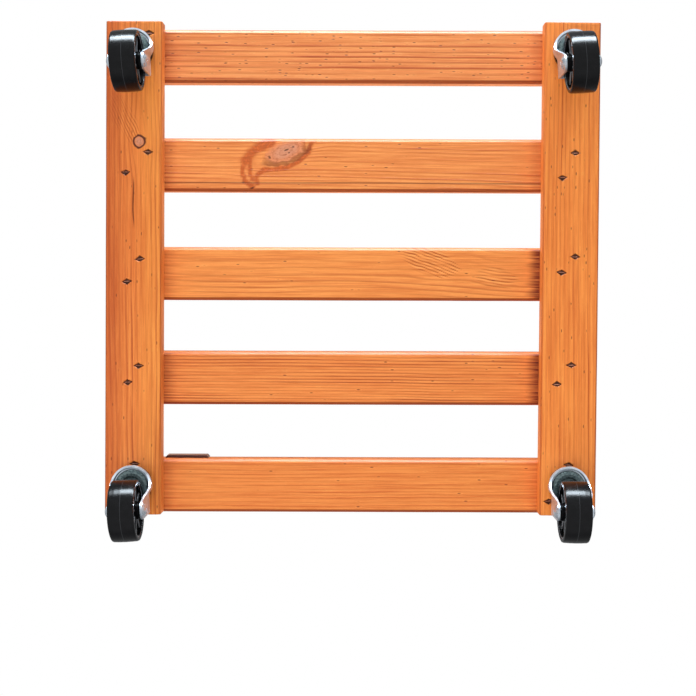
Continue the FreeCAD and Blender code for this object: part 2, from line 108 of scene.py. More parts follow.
# ---------------------------------------------------------------- shader helper
class Shader:
    """A material and short ways to add the nodes that it needs."""

    def __init__(self, name, origin=(0, 0, 0), turn=0.0):
        self.material = bpy.data.materials.new(name)
        self.material.use_nodes = True
        self.tree = self.material.node_tree
        self.surface = self.tree.nodes["Principled BSDF"]
        coordinates = self.tree.nodes.new("ShaderNodeTexCoord")
        # the place in millimetres from an origin in metres, on axes turned about z
        local = self.tree.nodes.new("ShaderNodeMapping")
        local.vector_type = "TEXTURE"
        local.inputs["Location"].default_value = origin
        local.inputs["Rotation"].default_value = (0, 0, turn)
        local.inputs["Scale"].default_value = (MM, MM, MM)
        self.tree.links.new(coordinates.outputs["Object"], local.inputs["Vector"])
        self.place = local.outputs[0]
        self.normal = coordinates.outputs["Normal"]

    def feed(self, socket, value):
        """Link an output socket into an input, or set a constant on it."""
        if isinstance(value, bpy.types.NodeSocket):
            self.tree.links.new(value, socket)
        else:
            socket.default_value = value

    def math(self, operation, *values):
        node = self.tree.nodes.new("ShaderNodeMath")
        node.operation = operation
        for socket, value in zip(node.inputs, values):
            self.feed(socket, value)
        return node.outputs[0]

    def band(self, value, low, high, to_low=0.0, to_high=1.0):
        """Smoothly map a value from low..high to to_low..to_high, clamped."""
        node = self.tree.nodes.new("ShaderNodeMapRange")
        node.interpolation_type = "SMOOTHSTEP"
        for socket, number in zip(node.inputs[:5], (value, low, high, to_low, to_high)):
            self.feed(socket, number)
        return node.outputs[0]

    def mix(self, factor, first, second, blend="MIX"):
        node = self.tree.nodes.new("ShaderNodeMix")
        node.data_type = "RGBA"
        node.blend_type = blend
        for socket, value in zip((node.inputs[0], node.inputs[6], node.inputs[7]),
                                 (factor, first, second)):
            self.feed(socket, value)
        return node.outputs[2]

    def tint(self, factor, colour, times):
        """The colour multiplied by three factors, as far as factor says."""
        return self.mix(factor, colour, self.mix(1.0, colour, (*times, 1.0), "MULTIPLY"))

    def stretch(self, scale, shift=(0, 0, 0)):
        """The place in millimetres, scaled on each axis."""
        node = self.tree.nodes.new("ShaderNodeMapping")
        node.inputs["Scale"].default_value = scale
        node.inputs["Location"].default_value = shift
        self.tree.links.new(self.place, node.inputs["Vector"])
        return node.outputs[0]

    def noise(self, scale, detail=2.0, shift=(0, 0, 0), roughness=0.5):
        """Noise over the place in millimetres; scale is the number of cells per millimetre."""
        node = self.tree.nodes.new("ShaderNodeTexNoise")
        node.inputs["Scale"].default_value = 1.0
        node.inputs["Detail"].default_value = detail
        node.inputs["Roughness"].default_value = roughness
        self.tree.links.new(self.stretch(scale, shift), node.inputs["Vector"])
        return node.outputs["Fac"]

    def cells(self, scale, shift=(0, 0, 0)):
        node = self.tree.nodes.new("ShaderNodeTexVoronoi")
        node.inputs["Scale"].default_value = 1.0
        self.tree.links.new(self.stretch(scale, shift), node.inputs["Vector"])
        return node

    def attribute(self, name):
        node = self.tree.nodes.new("ShaderNodeAttribute")
        node.attribute_name = name
        return node.outputs["Fac"]

    def part(self, vector, index):
        node = self.tree.nodes.new("ShaderNodeSeparateXYZ")
        self.feed(node.inputs[0], vector)
        return node.outputs[index]

    def bump(self, height, distance, strength=1.0, below=None):
        """Bump from a height between 0 and 1; distance is in millimetres."""
        node = self.tree.nodes.new("ShaderNodeBump")
        node.inputs["Strength"].default_value = strength
        node.inputs["Distance"].default_value = distance * MM
        self.feed(node.inputs["Height"], height)
        if below is not None:
            self.tree.links.new(below, node.inputs["Normal"])
        return node.outputs[0]

    def finish(self, color, roughness, normal=None, **constants):
        self.feed(self.surface.inputs["Base Color"], color)
        self.feed(self.surface.inputs["Roughness"], roughness)
        if normal is not None:
            self.feed(self.surface.inputs["Normal"], normal)
        for name, value in constants.items():
            self.surface.inputs[name.replace("_", " ")].default_value = value
        return self.material


# ---------------------------------------------------------------- wood
class Oval:
    """An oval on a board's lower face: place, half axes and turn in degrees."""

    def __init__(self, place, half_axes, turn=0.0):
        self.place = place
        self.half_axes = half_axes
        self.turn = math.radians(turn)

    def local(self, along, across):
        """Offsets from the oval's centre, along its long and short half axes."""
        du, dv = along - self.place[0], across - self.place[1]
        cos, sin = math.cos(self.turn), math.sin(self.turn)
        return du * cos + dv * sin, -du * sin + dv * cos

    def distance(self, points):
        """1 on the ragged outline and less inside it; far above 1 in the board's upper half."""
        a, b = self.local(points[:, 0], points[:, 1])
        ragged = 1 + 0.12 * lattice_noise(points, (5, 4, 9), 77)
        ragged += 0.08 * lattice_noise(points, (2, 1.6, 9), 78)
        inside = np.hypot(a / self.half_axes[0], b / self.half_axes[1]) * ragged
        return np.where(points[:, 2] < 0, inside, FAR)


class Knot(Oval):
    """A branch that the board was sawn through, with grain that flows round it."""

    def __init__(self, place, half_axes, turn=0.0, reach=18.0, spread=6.0, bend=1.0,
                 rim=1.0, rim_side=None):
        super().__init__(place, half_axes, turn)
        self.reach = reach          # how far along the board the grain still bends round it
        self.spread = spread        # how far across the board
        self.bend = bend            # how much of the knot's width the grain gives way
        self.rim = rim              # darkness of the bark line round it
        self.rim_side = rim_side    # direction in degrees of the bark line, or None for all round

    def rim_strength(self, points):
        if self.rim_side is None:
            return self.rim
        a, b = points[:, 0] - self.place[0], points[:, 1] - self.place[1]
        toward = np.cos(np.arctan2(b, a) - math.radians(self.rim_side))
        return self.rim * smoothstep(-0.2, 0.35, toward)


class Stroke:
    """A curved streak on a board's lower face, through a few places, with one half width."""

    def __init__(self, places, half_width):
        self.places = np.array(places, dtype=float)
        self.half_width = half_width

    def distance(self, points):
        """1 on the streak's outline and 0 on its line; far above 1 in the board's upper half."""
        flat = points[:, :2] + 1.3 * np.column_stack([lattice_noise(points, (7, 7, 9), 81),
                                                      lattice_noise(points, (7, 7, 9), 82)])
        nearest = np.full(len(points), 99.0)
        for start, stop in zip(self.places[:-1], self.places[1:]):
            run = stop - start
            share = np.clip((flat - start) @ run / (run @ run), 0, 1)
            offset = flat - start - share[:, None] * run
            nearest = np.minimum(nearest, np.linalg.norm(offset, axis=1))
        return np.where(points[:, 2] < 0, nearest / self.half_width, FAR)


class Figure(Oval):
    """A bundle of fine lines, dark and pale by turns, fading out towards its oval's outline."""

    def __init__(self, place, half_axes, turn, pitch, strength=1.0):
        super().__init__(place, half_axes, turn)
        self.pitch = pitch          # from one dark line to the next
        self.strength = strength

    def shade(self, points):
        """From -1 on a pale line to 1 on a dark one."""
        a, b = self.local(points[:, 0], points[:, 1])
        wavy = b + 1.1 * lattice_noise(points, (16, 9, 9), 91)
        wavy += 0.5 * lattice_noise(points, (7, 4, 9), 92)
        fade = smoothstep(1.2, 0.75, np.hypot(a / self.half_axes[0], b / self.half_axes[1]))
        broken = 0.8 + 0.5 * lattice_noise(points, (8, 2.5, 9), 93)
        lines = self.strength * fade * broken * np.sin(2 * math.pi * wavy / self.pitch)
        return np.where(points[:, 2] < 0, lines, 0)


class Wood:
    """How one board was sawn and how it took the stain. Lengths are in millimetres."""

    def __init__(self, seed, pith, ring, lean=(0.0, 0.0), wander=4.0, ripple=0.8,
                 early=(250, 163, 102), late=(222, 122, 64), contrast=0.8, specks=0.0,
                 tone=None, knots=(), checks=(), waves=None, bark=(), spots=(), lines=(),
                 edges=(0.85, 0.0), rail_shade=(0.3, 0.3), figures=()):
        self.seed = seed
        self.pith = pith            # centre of the growth rings, (across, through the thickness)
        self.ring = ring            # width of a growth ring
        self.lean = lean            # how far the pith moves per millimetre along the board
        self.wander = wander        # slow wandering of the grain
        self.ripple = ripple        # short ripples of the grain
        self.early = early          # display colour of the pale wood
        self.late = late            # display colour of the hard dark line of each ring
        self.contrast = contrast
        self.specks = specks        # share of small torn chips
        self.tone = tone            # function of (along, across) from -1, red, to 1, yellow
        self.knots = knots
        self.checks = checks        # drying cracks: (across, from, to, width, depth)
        self.waves = waves          # function of (along, across) that shifts the grain
        self.bark = bark            # ovals and strokes of dark orange wood round a knot
        self.spots = spots          # ovals of near-black wood
        self.lines = lines          # single strong grain lines: (across, darkness)
        self.edges = edges          # how dark the painted shade is on the lower edges, towards -v and +v
        self.rail_shade = rail_shade          # how dark the painted shade on a slat is beside the rails, towards -u and +u
        self.figures = figures      # bundles of fine lines across the ring lines


def ring_count(points, wood):
    """How many growth rings lie between the pith and each point of a board."""
    u, v, w = points.T
    shifted = v.copy()
    for knot in wood.knots:
        a, b = knot.local(u, v)
        half = knot.half_axes[1] * knot.bend
        away = np.maximum(np.abs(b) - half, 0)
        bulge = half * np.exp(-(a / (knot.half_axes[0] + knot.reach)) ** 2 - away / knot.spread)
        shifted += np.sign(b) * (np.maximum(np.abs(b) - bulge, 0) - np.abs(b))
    if wood.waves:
        shifted += wood.waves(u, v)
    across = shifted - wood.pith[0] - wood.lean[0] * u
    through = w - wood.pith[1] - wood.lean[1] * u
    radius = np.hypot(across, through)
    radius += wood.wander * lattice_noise(points, (170, 60, 60), wood.seed)
    radius += wood.ripple * lattice_noise(points, (45, 14, 14), wood.seed + 3)
    line = np.column_stack([radius, radius * 0, radius * 0])
    return radius / wood.ring + 0.3 * lattice_noise(line, (2.5 * wood.ring, 1, 1), wood.seed + 5)


def latewood(rings):
    """The hard dark line at the end of each growth ring, from 0 to 1."""
    part = rings - np.floor(rings)
    return smoothstep(0.35, 0.88, part) * (1 - smoothstep(0.92, 1.0, part))


def wood_material(name, wood):
    s = Shader(name)
    seed = wood.seed
    rings = s.attribute("rings")
    part = s.math("FRACT", rings)
    line = s.math("MULTIPLY", s.band(part, 0.45, 0.84), s.band(part, 0.90, 1.0, 1.0, 0.0))
    glint = s.math("MULTIPLY", s.band(part, 0.0, 0.10), s.band(part, 0.16, 0.34, 1.0, 0.0))
    ring_luck = s.tree.nodes.new("ShaderNodeTexWhiteNoise")
    ring_luck.noise_dimensions = "1D"
    s.feed(ring_luck.inputs["W"], s.math("FLOOR", rings))
    weight = s.band(ring_luck.outputs["Value"], 0.0, 1.0, 0.25, 1.0)
    patchy = s.band(s.noise((0.010, 0.06, 0.06), 2.0, (seed, 0, 0)), 0.36, 0.62, 0.35, 1.0)
    weight = s.math("MULTIPLY", weight, patchy)
    line = s.math("MULTIPLY", line, weight)
    glint = s.math("MULTIPLY", glint, weight)

    streak = s.noise((0.011, 0.42, 0.42), 4.0, (0, seed * 7, 0), 0.72)
    fibre = s.noise((0.035, 1.3, 1.3), 3.0, (seed * 3, 0, 0), 0.65)
    fleck = s.noise((0.22, 1.1, 1.1), 2.0, (seed, seed * 2, 0), 0.6)
    hair = s.noise((0.02, 2.2, 2.2), 2.0, (seed * 2, seed, 0), 0.6)
    cloud = s.noise((0.014, 0.05, 0.05), 2.0, (seed * 5, 0, 0))
    tone = s.attribute("tone")

    colour = s.mix(s.math("MULTIPLY", line, wood.contrast), srgb(*wood.early), srgb(*wood.late))
    colour = s.tint(s.math("MULTIPLY", glint, 0.9 * wood.contrast), colour, (1.04, 1.22, 1.40))
    colour = s.tint(s.band(tone, 0.0, -1.0), colour, (0.74, 0.56, 0.50))
    colour = s.tint(s.band(tone, 0.0, 1.0), colour, (1.04, 1.18, 1.10))
    colour = s.tint(s.band(streak, 0.44, 0.66, 0.0, 0.75), colour, (0.82, 0.66, 0.54))
    colour = s.tint(s.band(streak, 0.50, 0.34, 0.0, 0.55), colour, (1.08, 1.16, 1.18))
    colour = s.tint(s.band(fibre, 0.46, 0.70, 0.0, 0.65), colour, (0.86, 0.72, 0.62))
    colour = s.tint(s.band(fleck, 0.56, 0.76, 0.0, 0.60), colour, (1.08, 1.22, 1.40))
    colour = s.tint(s.band(hair, 0.52, 0.70, 0.0, 0.55), colour, (0.82, 0.66, 0.56))
    colour = s.tint(s.band(hair, 0.46, 0.30, 0.0, 0.45), colour, (1.05, 1.18, 1.30))
    colour = s.tint(s.band(cloud, 0.38, 0.66, 0.0, 0.40), colour, (0.92, 0.80, 0.74))

    figure = s.attribute("figure")
    colour = s.tint(s.band(figure, 0.05, 0.7), colour, (0.58, 0.36, 0.22))
    colour = s.tint(s.band(figure, -0.1, -0.7), colour, (1.05, 1.36, 1.7))

    # painted shade on the lower edges, set for each side, and painted shade in the corners between
    # slats and rails
    low = s.band(s.part(s.normal, 2), -0.35, -0.1, 1.0, 0.0)
    aside = s.part(s.normal, 1)
    # painted shade along the lower edges, chosen by which way the surface faces
    near_edge = s.math("MULTIPLY", s.band(aside, -0.6, -0.3, wood.edges[0], 0.0), low)
    far_edge_shade = s.math("MULTIPLY", s.band(aside, 0.3, 0.6, 0.0, wood.edges[1]), low)
    colour = s.tint(s.math("ADD", near_edge, far_edge_shade), colour, (0.34, 0.16, 0.10))
    # painted shade in the corner under each slat beside the rails, streaked by the grain
    corner = s.math("MULTIPLY", s.attribute("rail_shade"), s.band(hair, 0.34, 0.54, 0.35, 1.0))
    colour = s.tint(corner, colour, (0.20, 0.08, 0.05))

    # the sawn ends drink more stain
    end = s.band(s.math("ABSOLUTE", s.part(s.normal, 0)), 0.55, 0.85)
    face = s.math("SUBTRACT", 1.0, end)
    pores = s.cells((1.5, 1.3, 1.3)).outputs["Distance"]
    end_colour = s.mix(line, (0.58, 0.42, 0.44, 1), (0.27, 0.17, 0.19, 1))
    end_colour = s.mix(1.0, srgb(*wood.early), end_colour, "MULTIPLY")
    end_colour = s.tint(s.band(pores, 0.2, 0.65), end_colour, (0.74, 0.62, 0.58))
    colour = s.mix(end, colour, end_colour)

    # small torn chips, each with a painted highlight round its rim
    chip = s.cells((0.16, 0.5, 0.5), shift=(seed, seed, 0))
    chosen = s.band(s.part(chip.outputs["Color"], 0), 1 - wood.specks, 1.02 - wood.specks)
    chips = s.math("MULTIPLY", s.band(chip.outputs["Distance"], 0.10, 0.34, 1.0, 0.0), chosen)
    chips = s.math("MULTIPLY", chips, face)
    # painted highlight on the raised rim round each chip
    chip_highlight = s.math("MULTIPLY", s.band(chip.outputs["Distance"], 0.34, 0.42), chosen)
    chip_highlight = s.math("MULTIPLY", chip_highlight, s.band(chip.outputs["Distance"], 0.46, 0.62, 0.8, 0.0))
    colour = s.tint(s.math("MULTIPLY", chip_highlight, face), colour, (1.03, 1.15, 1.2))
    colour = s.mix(s.math("MULTIPLY", chips, 0.9), colour, srgb(132, 50, 16))

    # knots: dark orange wood and bark round a paler heart with its own rings
    knot = s.attribute("knot")
    blotch = s.noise((0.35, 0.35, 0.35), 4.0, (seed, 3, 1), 0.65)
    bark = s.math("MULTIPLY", s.attribute("bark"), s.band(blotch, 0.25, 0.55, 0.75, 1.0))
    bark_colour = s.mix(s.band(blotch, 0.35, 0.68), srgb(186, 80, 26), srgb(222, 108, 42))
    colour = s.mix(bark, colour, bark_colour)
    heart = s.band(knot, 0.80, 0.98, 1.0, 0.0)
    heart_lines = s.math("FRACT", s.math("MULTIPLY", knot, 3.0))
    heart_colour = s.mix(s.band(knot, 0.35, 0.95), srgb(226, 150, 112), srgb(238, 142, 86))
    heart_colour = s.tint(s.band(heart_lines, 0.5, 0.95, 0.0, 0.6), heart_colour,
                          (0.84, 0.70, 0.62))
    heart_colour = s.tint(s.band(blotch, 0.50, 0.66, 0.0, 0.7), heart_colour, (0.80, 0.64, 0.56))
    heart_colour = s.tint(s.band(fleck, 0.54, 0.72, 0.0, 0.8), heart_colour, (0.66, 0.46, 0.40))
    colour = s.mix(heart, colour, heart_colour)
    rim = s.math("MULTIPLY", s.band(knot, 0.74, 0.88), s.band(knot, 1.06, 1.24, 1.0, 0.0))
    rim = s.math("MULTIPLY", rim, s.band(blotch, 0.30, 0.45, 0.8, 1.0))
    colour = s.mix(s.math("MULTIPLY", rim, s.attribute("rim")), colour, srgb(92, 36, 14))
    # near-black dark spots and grain lines, with painted shade inside staple slots and cracks
    colour = s.mix(s.attribute("dark_mark_and_shade"), colour, srgb(40, 12, 4))

    height = s.math("ADD", s.math("MULTIPLY", line, 0.6), s.math("MULTIPLY", fibre, 0.6))
    height = s.math("SUBTRACT", height, s.math("MULTIPLY", chips, 0.8))
    normal = s.bump(fleck, 0.08, 0.6, s.bump(height, 0.22, 0.9))
    roughness = s.band(fibre, 0.2, 0.8, 0.40, 0.58)
    return s.finish(colour, roughness, normal,
                    Specular_IOR_Level=0.28, Coat_Weight=0.05, Coat_Roughness=0.2)


class Board:
    """A board's own frame, x along the grain, y across, z up, and its size in millimetres."""

    def __init__(self, node, size, centre, turn, lower_edge, upper_edge, bevel):
        self.node = node
        self.half = np.array(size) / 2
        self.to_row = Matrix.Translation(centre) @ Matrix.Rotation(turn, 4, "Z")
        self.lower_edge = lower_edge
        self.upper_edge = upper_edge
        self.bevel = bevel          # 1 for a flat chamfer along the lower edges, 0 for a round
        self.marks = []             # staple slots: (along, across, turn, seed) of each

    def local(self, row_point):
        """A row-frame point in metres as board coordinates in millimetres."""
        return np.array(self.to_row.inverted() @ Vector(row_point)) / MM

    def eased(self, points):
        """Move the points of a plain cuboid onto the board's eased edges and ends."""
        u, v, w = points.T
        half_u, half_v, half_w = self.half
        radius = np.where(w < 0, self.lower_edge, self.upper_edge)
        core_v = np.clip(v, radius - half_v, half_v - radius)
        core_w = np.clip(w, radius - half_w, half_w - radius)
        dv, dw = v - core_v, w - core_w
        bevel = np.where(w < 0, self.bevel, 0.0)
        length = (1 - bevel) * np.hypot(dv, dw) + bevel * (np.abs(dv) + np.abs(dw))
        grow = np.maximum(np.abs(dv), np.abs(dw)) / np.maximum(length, 1e-9)
        grow = np.where(length > 1e-6, grow, 1.0)
        v, w = core_v + dv * grow, core_w + dw * grow
        t = np.clip((np.abs(u) - (half_u - END_ROUND)) / END_ROUND, 0, 1)
        inward = END_ROUND * (1 - np.sqrt(1 - t * t))
        return np.column_stack([u, v * (1 - inward / half_v), w * (1 - inward / half_w)])


def cuts(half, near_edge, step, extra=()):
    """Coordinates from -half to half: near both edges, at each step, and the extra ones."""
    inner = half - max(near_edge)
    values = list(np.linspace(-inner, inner, math.ceil(2 * inner / step) + 1))
    values += [sign * (half - e) for e in near_edge for sign in (-1, 1)]
    for place in sorted(extra):
        if abs(place) < inner and min(abs(place - v) for v in values) > LEAST_STEP:
            values.append(place)
    return np.unique(np.round(values, 3))


def cuboid_grid(us, vs, ws):
    """Vertices and quads of a cuboid's surface, cut along three lists of coordinates."""
    outside = np.zeros((len(us), len(vs), len(ws)), bool)
    for axis in range(3):
        np.moveaxis(outside, axis, 0)[[0, -1]] = True
    number = np.full(outside.shape, -1)
    number[outside] = np.arange(outside.sum())
    i, j, k = np.nonzero(outside)
    points = np.column_stack([us[i], vs[j], ws[k]])
    quads = []
    for axis in range(3):
        for side in (0, -1):
            sheet = np.take(number, side, axis=axis)
            loop = (sheet[:-1, :-1], sheet[1:, :-1], sheet[1:, 1:], sheet[:-1, 1:])
            if (side == 0) != (axis == 1):
                loop = loop[::-1]
            quads.append(np.stack([part.ravel() for part in loop], axis=1))
    return points, np.concatenate(quads)


def slot_shape(points, mark, low):
    """How deep a staple's torn slot is, and how far its lips are lifted, at each point."""
    place_u, place_v, turn, seed = mark
    du, dv = points[:, 0] - place_u, points[:, 1] - place_v
    a = du * math.cos(turn) + dv * math.sin(turn)
    b = -du * math.sin(turn) + dv * math.cos(turn)
    ragged = lattice_noise(points, (1.5, 1.1, 9), seed)
    on_face = np.where(points[:, 2] < low + 0.5, 1.0, 0.0)
    torn = 2.7 + 1.0 * ragged + 0.6 * np.sign(b) * math.sin(seed)
    inside = smoothstep(1.15, 0.95, np.abs(a) / 4.3 + np.abs(b) / torn + 0.25 * ragged)
    lip = np.exp(-((np.abs(b) - 2.5) / 0.8) ** 2 - (a / 3.4) ** 4) * (0.6 + 0.4 * ragged)
    return inside * on_face, lip * on_face


def board_grid(board, wood):
    """A board's cuboid with a mesh that is finer at its edges, slots, cracks and knots."""
    half_u, half_v, half_w = board.half
    extra_u = [mark[0] + d for mark in board.marks for d in SLOT_CUTS]
    extra_v = [mark[1] + d for mark in board.marks for d in SLOT_CUTS]
    extra_v += [check[0] + d for check in wood.checks for d in (-0.3, 0.0, 0.3)]
    for knot in wood.knots:
        extra_u += list(knot.place[0] + KNOT_CUTS)
    edge = board.lower_edge
    near = (0.0, edge / 3, edge * 2 / 3, edge)
    return cuboid_grid(cuts(half_u, (0.0, 0.06, 0.23, 0.5, END_ROUND), ALONG_STEP, extra_u),
                       cuts(half_v, near, ACROSS_STEP, extra_v),
                       cuts(half_w, near, THROUGH_STEP))


def make_board(board, wood, material):
    """A board with its grain, knots, dents, cracks and slots in the mesh and its attributes."""
    half_u, half_v, half_w = board.half
    flat, quads = board_grid(board, wood)
    points = board.eased(flat)
    piece = new_object(board.node + "_board", points, quads, [material], board.to_row)
    mesh = piece.data
    normals = np.zeros(len(points) * 3, np.float32)
    mesh.vertex_normals.foreach_get("vector", normals)
    normals = normals.reshape(-1, 3)

    rings = ring_count(flat, wood)
    end = np.abs(normals[:, 0]) > 0.6
    lift = 0.09 * lattice_noise(points, (150, 22, 40), wood.seed + 11)
    lift += 0.04 * lattice_noise(points, (34, 7, 12), wood.seed + 12)
    lift += np.where(end, 0.05 * lattice_noise(points, (9, 1.1, 7), wood.seed + 13),
                     0.05 * (latewood(rings) - 0.4))
    to_edge = np.abs(points[:, 1]) / half_v * (np.abs(points[:, 2]) / half_w)
    dents = smoothstep(0.45, 0.8, lattice_noise(points, (11, 6, 6), wood.seed + 14))
    lift -= 0.22 * dents * smoothstep(0.80, 0.97, to_edge)

    knot_distance = np.full(len(points), FAR)
    rim = np.zeros(len(points))
    for knot in wood.knots:
        distance = knot.distance(points)
        knot_distance = np.minimum(knot_distance, distance)
        lift += 0.16 * smoothstep(1.05, 0.75, distance)
        lift -= 0.12 * np.exp(-((distance - 1.05) / 0.09) ** 2)
        rim = np.maximum(rim, smoothstep(1.4, 1.2, distance) * knot.rim_strength(points))
    bark = np.zeros(len(points))
    for oval in wood.bark:
        bark = np.maximum(bark, smoothstep(1.45, 0.55, oval.distance(points)))

    dark_mark_and_shade = np.zeros(len(points))
    for oval in wood.spots:
        spot = smoothstep(1.2, 0.6, oval.distance(points))
        lift -= 0.3 * spot
        dark_mark_and_shade = np.maximum(dark_mark_and_shade, 0.85 * spot)
    for mark in board.marks:
        inside, lip = slot_shape(points, mark, -half_w)
        lift += -1.25 * inside + 0.45 * lip * (1 - inside)
        # painted shade, near black, inside each staple's slot
        dark_mark_and_shade = np.maximum(dark_mark_and_shade, 0.95 * inside)
    for across, darkness in wood.lines:
        wavy = across + 0.5 * lattice_noise(points * (1, 0, 0), (70, 9, 9), wood.seed + 31)
        gap = np.where(points[:, 2] < 0, points[:, 1] - wavy, FAR)
        dark_mark_and_shade = np.maximum(dark_mark_and_shade, darkness * smoothstep(1.0, 0.1, np.abs(gap)))
    for across, start, stop, width, depth in wood.checks:
        run = smoothstep(start, start + 12, points[:, 0])
        run *= smoothstep(stop, stop - 12, points[:, 0])
        wavy = across + 0.9 * lattice_noise(points * (1, 0, 0), (26, 9, 9), wood.seed + 21)
        crack = smoothstep(width, width * 0.3, np.abs(points[:, 1] - wavy)) * run
        crack = np.where(points[:, 2] < -half_w + 0.5, crack, 0)
        lift -= depth * crack
        # painted shade inside the crack
        dark_mark_and_shade = np.maximum(dark_mark_and_shade, 0.75 * crack)
    figure = np.zeros(len(points))
    for bundle in wood.figures:
        figure += bundle.shade(points)
    lift -= 0.05 * figure
    # painted shade on a slat's lower face next to the rails
    rail_shade = np.zeros(len(points))
    if board.node.startswith("slat"):
        depth = lattice_noise(points * (0, 1, 1), (1, 2.2, 6), wood.seed + 41)
        reach = smoothstep(161 + 5 * depth, 173, np.abs(points[:, 0]))
        strength = np.where(points[:, 0] < 0, *wood.rail_shade)
        rail_shade = strength * reach * (points[:, 2] < 1.2 - half_w)

    mesh.vertices.foreach_set("co", ((points + normals * lift[:, None]) * MM).ravel())
    tone = np.zeros(len(points))
    if wood.tone:
        tone = np.where(points[:, 2] < 0.3 - half_w, wood.tone(points[:, 0], points[:, 1]), 0.6)
    for name, values in (("rings", rings), ("knot", knot_distance), ("rim", rim), ("bark", bark),
                         ("tone", tone), ("dark_mark_and_shade", dark_mark_and_shade), ("rail_shade", rail_shade), ("figure", figure)):
        layer = mesh.attributes.new(name, "FLOAT", "POINT")
        layer.data.foreach_set("value", values.astype(np.float32))
    mesh.update()
    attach(piece, "deck")
    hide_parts(board.node)
    return piece


def find_boards():
    """Each board's frame and size, from the CAD boxes and the places of the casters."""
    boards = {}
    for i in range(1, 6):
        low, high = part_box("slat_%d" % i)
        size = [s / MM for s in high - low]
        boards["slat_%d" % i] = Board("slat_%d" % i, size, (low + high) / 2, 0.0, 3.0, 2.5, 0.75)
    # both rails have the size of the right one, which stands square to the frame
    low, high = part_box("right_rail")
    size = [(high - low)[axis] / MM for axis in (1, 0, 2)]
    for side in ("left", "right"):
        run = joint_place("rear_%s_swivel" % side) - joint_place("front_%s_swivel" % side)
        low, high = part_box(side + "_rail")
        boards[side + "_rail"] = Board(side + "_rail", size, (low + high) / 2,
                                       math.atan2(run.y, run.x), 2.5, 1.0, 0.0)
    return boards


def clusters(node, gap):
    """Centres of the groups of a CAD node's vertices that are more than gap millimetres apart."""
    places = np.array([v.co for v in frame["nodes"][node].data.vertices]) / MM
    centres = []
    for place in places:
        for group in centres:
            if abs(place[0] - group[0][0]) < gap and abs(place[1] - group[0][1]) < gap:
                group.append(place)
                break
        else:
            centres.append([place])
    return [(np.min(group, axis=0) + np.max(group, axis=0)) / 2 for group in centres]


def staple_mesh(centre, turn, low, high, crown=5.8, wire=0.42):
    """A bent wire staple as a swept tube: two legs up and a crown across, below."""
    bend = 1.1                  # radius of the wire's two bends
    sides = 8
    path = [(-crown / 2, high)]
    path += [(-crown / 2 + bend - bend * math.cos(t), low + bend - bend * math.sin(t))
             for t in np.linspace(0, math.pi / 2, 5)]
    path += [(-x, z) for x, z in path[::-1]]
    across = Vector((math.cos(turn), math.sin(turn), 0))
    aside = Vector((-math.sin(turn), math.cos(turn), 0))
    vertices, faces = [], []
    for i, (x, z) in enumerate(path):
        before, after = path[max(i - 1, 0)], path[min(i + 1, len(path) - 1)]
        run = (across * (after[0] - before[0]) + Vector((0, 0, after[1] - before[1]))).normalized()
        out = run.cross(aside)
        middle = Vector((centre[0], centre[1], 0)) + across * x + Vector((0, 0, z))
        for k in range(sides):
            angle = 2 * math.pi * k / sides
            vertices.append(middle + wire * (math.cos(angle) * aside + math.sin(angle) * out))
    for i in range(len(path) - 1):
        for k in range(sides):
            here, beside = sides * i + k, sides * i + (k + 1) % sides
            faces.append([here, beside, beside + sides, here + sides])
    faces.append(list(range(sides))[::-1])
    faces.append([sides * (len(path) - 1) + k for k in range(sides)])
    return vertices, faces


def make_staples(side, board, material):
    """The staples of one rail, and the slots that they leave in its lower face."""
    node = side + "_rail_staples"
    low, high = (corner.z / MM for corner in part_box(node))
    luck = random.Random(node)
    vertices, faces = [], []
    for centre in clusters(node, STAPLE_GAP):
        turn = luck.uniform(-0.12, 0.12)
        local = board.local(centre * MM)
        lean = turn - board.to_row.to_euler().z
        board.marks.append((local[0], local[1], lean, luck.randrange(1000)))
        more, quads = staple_mesh(centre, turn, low + 0.2, high)
        faces += [[i + len(vertices) for i in f] for f in quads]
        vertices += more
    piece = new_object(node + "_wire", vertices, faces, [material])
    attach(piece, "deck")
    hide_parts(node)


# ---------------------------------------------------------------- caster materials
def zinc_material(name, tint=(198, 210, 223), rough=(0.28, 0.42)):
    """Bluish zinc plate with a faintly mottled, slightly uneven shine."""
    s = Shader(name)
    mottle = s.noise((0.16, 0.16, 0.16), 4.0, (3, 1, 2), 0.6)
    fine = s.noise((1.1, 1.1, 1.1), 3.0, (5, 4, 1))
    colour = s.mix(s.band(mottle, 0.32, 0.68), srgb(*tint), srgb(234, 242, 250))
    colour = s.mix(s.band(fine, 0.48, 0.74, 0.0, 0.40), colour, srgb(144, 162, 178))
    spots = s.noise((0.09, 0.09, 0.09), 2.0, (9, 9, 9))
    colour = s.mix(s.band(spots, 0.58, 0.75, 0.0, 0.25), colour, srgb(206, 200, 186))
    rough_share = s.band(mottle, 0.3, 0.7, rough[0], rough[1])
    return s.finish(colour, rough_share, s.bump(mottle, 0.03, 0.2), Metallic=0.85)


def steel_material(name, tint, dark, rough):
    """Steel with a thin film that darkens it and dulls it in patches."""
    s = Shader(name)
    film = s.noise((0.6, 0.6, 0.6), 3.0, (2, 7, 4))
    colour = s.mix(s.band(film, 0.35, 0.7), srgb(*tint), srgb(*dark))
    return s.finish(colour, s.band(film, 0.3, 0.7, rough, rough + 0.2), s.bump(film, 0.02, 0.4),
                    Metallic=0.9)


def label_material():
    """Thin plate with a warm bare face towards +y; its other sides are painted dark maroon as
    shade.
    """
    s = Shader("label_metal")
    film = s.noise((0.05, 0.9, 0.9), 3.0, (6, 2, 3))
    face = s.mix(s.band(film, 0.35, 0.7), srgb(206, 146, 108), srgb(172, 112, 82))
    edge = s.mix(s.band(film, 0.35, 0.7), srgb(74, 34, 28), srgb(44, 16, 14))
    # painted shade: every side but the one that faces +y gets the dark maroon
    colour = s.mix(s.band(s.part(s.normal, 1), 0.5, 0.8), edge, face)
    return s.finish(colour, s.band(film, 0.3, 0.7, 0.3, 0.5), s.bump(film, 0.02, 0.4), Metallic=0.3)


